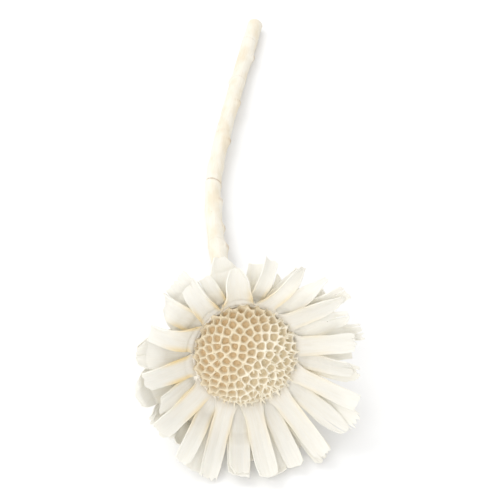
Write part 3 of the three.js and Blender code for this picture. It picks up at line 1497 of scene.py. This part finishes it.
@dataclass
class Cone:
    """The woody cone of the receptacle, under the disc."""

    sides: int = 72
    rings: int = 30
    rounded: float = 0.16
    drawn_in: float = 0.42
    waviness: float = 0.02
    scarred_to: float = 0.04
    seed: int = 31
    finish: BarkFinish = field(default_factory=lambda: BarkFinish("cone_bark"))

    def profile(self, node: bpy.types.Object, head: Head) -> tuple[np.ndarray, np.ndarray]:
        """Measures the side of the receptacle's solid.

        Args:
            node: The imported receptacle.
            head: The head's frame.

        Returns:
            Heights below the rim, from the foot up, and the cone's radius at each.
        """
        points, radius = head.read(node)
        low = (points[:, 2] < -0.2 * MM) & (radius > 1 * MM)
        heights = np.unique(np.round(points[low, 2] / (0.01 * MM)).astype(int)) * 0.01 * MM
        radii = [radius[low & (abs(points[:, 2] - h) < 0.02 * MM)].mean() for h in heights]
        return heights, np.array(radii)

    def build(self, node: bpy.types.Object, head: Head) -> bpy.types.Object:
        """Builds the cone as a closed solid.

        Args:
            node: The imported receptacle.
            head: The head's frame.

        Returns:
            The cone.
        """
        heights, radii = self.profile(node, head)
        deselect()
        bpy.ops.mesh.primitive_cylinder_add(vertices=self.sides, radius=1, depth=2)
        piece = bpy.context.object
        with editing(piece):
            for ring in range(1, self.rings):
                bpy.ops.mesh.select_all(action="SELECT")
                height = ring / self.rings * 2 - 1
                bpy.ops.mesh.bisect(plane_co=(0, 0, height), plane_no=(0, 0, 1))
        plain = get_places(piece)
        rng = np.random.default_rng(self.seed)
        part = (plain[:, 2] + 1) / 2
        z = heights[0] + part * (heights[-1] - heights[0])
        r = np.interp(z, heights, radii)
        angle = np.arctan2(plain[:, 1], plain[:, 0])
        waves = closed_wander(self.sides, 18, rng)
        r = r * (1 + self.waviness * waves[step_round(angle, self.sides)])
        r = r * (1 - self.drawn_in * np.clip(1 - part / self.rounded, 0, 1) ** 2)
        places = np.column_stack([r * np.cos(angle), r * np.sin(angle), z])
        set_places(piece, head.world(places))
        grain = np.column_stack([angle * r, z - heights[0], z * 0]) / MM
        mark(piece, "grain", grain)
        mark(piece, "scar", np.where(part < self.scarred_to, 0.4, 0.0))
        dress(piece, "receptacle_cone", self.finish.material(), crease=50)
        return piece


@dataclass
class Fillet:
    """The soft woody ring that the disc and the feet of the bracts grow out of."""

    radius: float
    drop: float = 0.5 * MM
    stoutness: float = 1.4 * MM
    waviness: float = 0.12
    sides: int = 192
    seed: int = 51
    finish: PaperyFinish = field(default_factory=PaperyFinish)

    def build(self, head: Head) -> bpy.types.Object:
        """Builds the ring as a closed solid.

        Args:
            head: The head's frame.

        Returns:
            The ring.
        """
        deselect()
        bpy.ops.mesh.primitive_torus_add(
            major_segments=self.sides,
            minor_segments=20,
            major_radius=self.radius,
            minor_radius=self.stoutness,
        )
        piece = bpy.context.object
        places = get_places(piece)
        angle = np.arctan2(places[:, 1], places[:, 0])
        waves = closed_wander(self.sides, 48, np.random.default_rng(self.seed))
        places[:, 2] += waves[step_round(angle, self.sides)] * self.waviness * MM - self.drop
        set_places(piece, head.world(places))
        mark(piece, "grain", np.column_stack([angle * self.radius, places[:, 2], angle * 0]) / MM)
        # Along 0 gives the finish's foot colour, lifted as painted light against the shade round the disc;
        # no painted glow.
        mark_all(piece, along=0.0, edge=0.0, tone=0.2, warmth=0.0)
        dress(piece, "disc_fillet", self.finish.material())
        return piece


@dataclass
class NeckScales:
    """The short pointed scales that overlap round the cone and the neck of the stem.

    Each ring is its start above the cone's foot, its count, and its scales' length and width.
    """

    neck: float
    rings: tuple = (
        (-2.6, 7, 4.6, 4.0),
        (-0.2, 9, 5.4, 4.6),
        (2.4, 11, 6.4, 4.8),
        (5.4, 13, 7.4, 5.2),
        (8.8, 15, 8.0, 5.6),
    )
    thickness: float = PAPER
    lift: float = 1.1 * MM
    seed: int = 61
    finish: PaperyFinish = field(default_factory=PaperyFinish)

    def surface(self, heights: np.ndarray, radii: np.ndarray) -> tuple[np.ndarray, ...]:
        """Follows the cone's side from the neck of the stem up to the rim.

        Args:
            heights: The cone's heights, from its foot up.
            radii: Its radius at each.

        Returns:
            Distances along the side, from the foot, and the radius and the height at each.
        """
        above = heights > heights[0] + 1.2 * MM
        low = heights[0]
        height = np.concatenate([[low - 4 * MM, low - 0.3 * MM, low + 0.8 * MM], heights[above]])
        radius = np.concatenate([[self.neck, 1.12 * self.neck, 0.9 * radii[0]], radii[above]])
        slant = running(np.hypot(np.diff(radius), np.diff(height)))
        return slant - slant[1], radius, height

    def build(self, cone: tuple, head: Head) -> list[bpy.types.Object]:
        """Builds every ring of scales.

        Args:
            cone: The cone's heights and radii, as measured.
            head: The head's frame.

        Returns:
            One piece for each ring.
        """
        material = self.finish.material()
        surface = self.surface(*cone)
        rng = np.random.default_rng(self.seed)
        pieces = []
        for number, ring in enumerate(self.rings):
            piece = self.ring(ring, surface, rng)
            places = head.world(get_places(piece))
            places[:, 2] = np.maximum(places[:, 2], 0)
            set_places(piece, places)
            dress(piece, f"neck_scales_{number + 1}", material, crease=50)
            pieces.append(piece)
        return pieces

    def ring(self, ring: tuple, surface: tuple, rng: np.random.Generator) -> bpy.types.Object:
        """Builds one ring: a scale, and its copies turned round the axis.

        Args:
            ring: The ring's numbers.
            surface: The cone's side.
            rng: Where the random numbers come from.

        Returns:
            The ring, with its axis upright.
        """
        start, count, length, width = ring
        scale = self.scale(start * MM, length * MM, width * MM, surface)
        copies = []
        for i in range(1, count):
            copy = scale.copy()
            copy.data = scale.data.copy()
            copy.rotation_euler[2] = (i + rng.uniform(-0.12, 0.12)) / count * FULL_TURN
            copy.scale = (1, 1, 1 + rng.uniform(-0.06, 0.06))
            bpy.context.scene.collection.objects.link(copy)
            copies.append(copy)
        pick(scale)
        for copy in copies:
            copy.select_set(True)
        bpy.ops.object.transform_apply(location=False, rotation=True, scale=True)
        bpy.ops.object.join()
        return bpy.context.object

    def scale(self, start: float, length: float, width: float, surface: tuple) -> bpy.types.Object:
        """Builds one scale against the cone's side.

        Args:
            start: Where its foot is along the side.
            length: Its length.
            width: Its width.
            surface: The cone's side.

        Returns:
            The scale, a closed thin solid.
        """
        deselect()
        bpy.ops.mesh.primitive_grid_add(x_subdivisions=8, y_subdivisions=14, size=2)
        piece = bpy.context.object
        flat = get_places(piece)
        u, v = flat[:, 0], (flat[:, 1] + 1) / 2
        slant, radius, height = surface
        at = start + v * length
        r = np.interp(at, slant, radius)
        z = np.interp(at, slant, height)
        step = 0.8 * MM
        rise = np.interp(at + step, slant, height) - np.interp(at - step, slant, height)
        widen = np.interp(at + step, slant, radius) - np.interp(at - step, slant, radius)
        size = np.hypot(rise, widen)
        half = width / 2 * np.maximum(1 - v**2.4, 0.02) * (0.85 + 0.15 * smooth(v, 0, 0.4))
        away = 0.45 * MM * smooth(v, -0.2, 0.5) + self.lift * v**2 * smooth(v, 0.2, 1)
        away = away + 0.3 * MM * (1 - u**2) * v - 0.2 * MM
        turn = u * half / r
        r = r + rise / size * away
        z = z - widen / size * away
        set_places(piece, np.column_stack([r * np.cos(turn), r * np.sin(turn), z]))
        mark(piece, "grain", np.column_stack([u * half / MM, v * length / MM, u * 0]))
        mark(piece, "along", 0.1 + 0.8 * v)
        mark(piece, "edge", np.abs(u))
        # The scales get a little of the painted glow.
        mark_all(piece, tone=0.6, warmth=0.25)
        apply_modifier(piece, "SOLIDIFY", thickness=self.thickness, offset=0.0)
        return piece


# ---- The stem ------------------------------------------------------------------------------------


@dataclass
class Stem:
    """The woody stem: knobbly, ringed with old leaf scars, and cut across at its end.

    Each scar is its place along the stem and its depth, and each bud its place and its turn.
    """

    sides: int = 40
    rings: int = 420
    sections: int = 41
    seam: float = 0.005 * MM
    grain_length: float = 190
    scar_width: float = 0.003
    node_width: float = 0.018
    bud_length: float = 0.011
    bud_width: float = 0.5
    bud_size: float = 0.34
    seed: int = 77
    finish: BarkFinish = field(default_factory=lambda: BarkFinish("stem_bark"))
    stoutness: float = 1.07
    scars: tuple = ((0.14, 0.3), (0.3, 0.15), (0.475, 1.25), (0.62, 0.2), (0.79, 0.3), (0.93, 0.25))
    buds: tuple = ((0.29, 0.3), (0.35, 0.0), (0.42, 0.5), (0.6, 0.2), (0.72, 0.4), (0.8, 3.6), (0.88, 0.1))

    def middle_line(self, node: bpy.types.Object) -> tuple[np.ndarray, np.ndarray]:
        """Measures the rings of the stem's solid.

        Args:
            node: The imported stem.

        Returns:
            The rings' middles and their radii, from the neck to the cut end.
        """
        points = corners(node)
        lean = math.radians(14)
        order = points[:, 1] * math.cos(lean) - points[:, 2] * math.sin(lean)
        sections = rows(points, order, self.sections)
        middles = np.array([s.mean(axis=0) for s in sections])
        radii = [np.linalg.norm(s - m, axis=1).max() for s, m in zip(sections, middles)]
        return middles, np.array(radii)

    def build(self, node: bpy.types.Object) -> bpy.types.Object:
        """Builds the stem as a closed solid.

        Args:
            node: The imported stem.

        Returns:
            The stem.
        """
        middles, radii = self.middle_line(node)
        piece, column, row = flat_grid(self.sides, self.rings)
        angle = column / self.sides * FULL_TURN
        part = row / self.rings

        rng = np.random.default_rng(self.seed)
        ids = np.linspace(0, len(middles) - 1, self.rings + 1)
        line = spline(middles, ids)
        radius = np.interp(ids, np.arange(len(radii)), radii)
        tangent = unit(np.gradient(line, axis=0))
        across = unit(np.cross(tangent, UP))
        over = np.cross(across, tangent)

        swell = np.ones(len(part))
        scar = np.zeros(len(part))
        for i, (at, depth) in enumerate(self.scars):
            tilt = 0.005 * np.cos(angle - 1.9 * i)
            near = (part - at - tilt) / self.scar_width
            swell += depth * (0.05 * np.exp(-(near**2)) - 0.05 * np.exp(-((near - 1.6) ** 2)))
            swell += 0.03 * np.exp(-(((part - at) / self.node_width) ** 2))
            scar = np.maximum(scar, np.exp(-((near - 1.1) ** 2) * 2) * 0.8 * depth)
        for at, turn in self.buds:
            aside = (angle - turn + math.pi) % FULL_TURN - math.pi
            facing = np.exp(-(aside / self.bud_width) ** 2)
            bud = facing * np.exp(-(((part - at) / self.bud_length) ** 2))
            swell += self.bud_size * bud
            scar = np.maximum(scar, 0.55 * facing * np.exp(-(((part - at) / 0.005) ** 2)))
        ridges = closed_wander(self.sides, 9, rng)
        swell += 0.028 * ridges[column]
        swell += 0.03 * wander(self.rings + 1, 40, rng)[row]
        swell += 0.02 * np.sin(2 * angle + 9 * part)

        r = (self.stoutness * radius[row] * swell)[:, None]
        line[:, 2] += (self.stoutness - 1) * radius
        spoke = np.cos(angle)[:, None] * across[row] + np.sin(angle)[:, None] * over[row]
        set_places(piece, line[row] + r * spoke)
        grain = [angle * radius[row] / MM, part * self.grain_length, part * 0]
        mark(piece, "grain", np.column_stack(grain))
        mark(piece, "scar", scar)
        with editing(piece):
            bpy.ops.mesh.select_all(action="SELECT")
            bpy.ops.mesh.remove_doubles(threshold=self.seam)
        close_openings(piece)
        dress(piece, "stem_bark", self.finish.material(), crease=55)
        return piece


def spline(points: np.ndarray, ids: np.ndarray) -> np.ndarray:
    """Runs a smooth line through points.

    Args:
        points: The points.
        ids: Where to read the line, counted in points.

    Returns:
        The line's places.
    """
    padded = np.vstack([2 * points[0] - points[1], points, 2 * points[-1] - points[-2]])
    base = np.minimum(ids.astype(int), len(points) - 2)
    t = (ids - base)[:, None]
    p0, p1, p2, p3 = (padded[base + k] for k in range(4))
    return 0.5 * (
        2 * p1
        + (p2 - p0) * t
        + (2 * p0 - 5 * p1 + 4 * p2 - p3) * t**2
        + (3 * p1 - p0 - 3 * p2 + p3) * t**3
    )


# ---- The studio ----------------------------------------------------------------------------------


@dataclass
class Studio:
    """The white table, the soft lights and the camera.

    Each lamp is its name, its place, its size in metres and its power in watts.
    """

    elevation: float = 42.0
    distance: float = 0.62
    lens: float = 146.0
    table_size: float = 6.0
    aim_near: float = 0.33
    aim_far: float = 0.1
    aim_up: float = 0.25
    room: float = 0.92
    lamps: tuple = (
        ("key", (-0.6, 0.25, 0.95), 0.7, 3.4),
        ("fill", (-0.3, -0.95, 0.7), 0.9, 4.9),
    )
    lit: tuple = (0, -0.04, 0)

    def build(self) -> None:
        """Sets up the table, the lights and the camera round the flower."""
        low, high = (np.array(corner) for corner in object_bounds())
        self.table()
        self.lights()
        self.camera(low, high)

    def table(self) -> None:
        """Lays the table under the flower."""
        deselect()
        bpy.ops.mesh.primitive_plane_add(size=self.table_size)
        table = bpy.context.object
        table.name = "table"
        table.data.materials.append(TableFinish().material())
        table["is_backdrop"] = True

    def lights(self) -> None:
        """Hangs the soft lights up to the left, and lets the white room fill the rest."""
        world = bpy.data.worlds.new("room")
        bpy.context.scene.world = world
        world.use_nodes = True
        background = world.node_tree.nodes["Background"]
        background.inputs[0].default_value = (1.0, 1.0, 1.0, 1.0)
        background.inputs[1].default_value = self.room
        for name, place, size, power in self.lamps:
            lamp = bpy.data.lights.new(name, "AREA")
            lamp.size = size
            lamp.energy = power
            light = bpy.data.objects.new(name, lamp)
            light.location = place
            aim = Vector(self.lit) - Vector(place)
            light.rotation_euler = aim.to_track_quat("-Z", "Y").to_euler()
            bpy.context.scene.collection.objects.link(light)
        bpy.context.scene.view_settings.view_transform = "Standard"

    def camera(self, low: np.ndarray, high: np.ndarray) -> None:
        """Aims the camera at the flower.

        Args:
            low: The flower's lowest corner.
            high: The flower's highest corner.
        """
        lens = bpy.data.cameras.new("camera")
        lens.lens = self.lens
        camera = bpy.data.objects.new("camera", lens)
        slope = math.radians(self.elevation)
        along = low[1] * self.aim_near + high[1] * self.aim_far
        target = Vector(((low[0] + high[0]) / 2, along, high[2] * self.aim_up))
        back = Vector((0, -math.cos(slope), math.sin(slope)))
        camera.location = target + back * self.distance
        camera.rotation_euler = (-back).to_track_quat("-Z", "Y").to_euler()
        bpy.context.scene.collection.objects.link(camera)
        bpy.context.scene.camera = camera


# ---- The flower ----------------------------------------------------------------------------------


def main() -> None:
    """Builds the flower round its solids, then the studio."""
    logging.basicConfig(level=logging.INFO, format="%(name)s: %(message)s")
    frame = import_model()
    nodes = frame["nodes"]
    head = Head.measured(nodes["receptacle"])

    disc = Disc.measured(nodes["receptacle"], head)
    adopt(disc.build(head), ["receptacle"])
    adopt(disc.stubs(head), ["receptacle"])
    fillet = Fillet(radius=disc.radius + 0.7 * MM)
    adopt(fillet.build(head), ["receptacle"])
    cone = Cone()
    adopt(cone.build(nodes["receptacle"], head), ["receptacle"])
    scaly = PaperyFinish(tip=linear(238, 224, 194), middle=linear(242, 232, 206), foot=linear(236, 216, 178))
    stem = Stem()
    adopt(stem.build(nodes["stem"]), ["stem"])
    neck = float(stem.middle_line(nodes["stem"])[1][0] * stem.stoutness)
    for ring in NeckScales(neck, finish=scaly).build(cone.profile(nodes["receptacle"], head), head):
        adopt(ring, [])

    # The third and outer layers show mostly in the slits: their yellow foot is a painted glow of light
    # shining through the tissue there.
    back_layers_painted_glow = PaperyFinish(middle=linear(250, 246, 234), foot=linear(250, 236, 198))
    whorls = (
        Whorl("inner_bract", seed=1, width=1.08, collar=0.3, foot_forward=0.25 * MM),
        Whorl("second_bract", seed=2, width=1.1, collar=0.3, foot_forward=1.24 * MM, forward=0.4 * MM),
        Whorl("third_bract", seed=3, width=1.2, length=1.06, forward=0.9 * MM, cup=0.5, finish=back_layers_painted_glow),
        Whorl("outer_bract", seed=4, width=1.35, length=1.04, tone=0.35, finish=back_layers_painted_glow),
        Whorl("basal_bract", seed=5, width=1.7, length=1.15, tone=0.5, pointed=30, finish=scaly),
    )
    crowd = Crowd()
    for whorl in whorls:
        whorl.build(nodes, head, crowd)

    Studio().build()


if __name__ == "__main__":
    main()
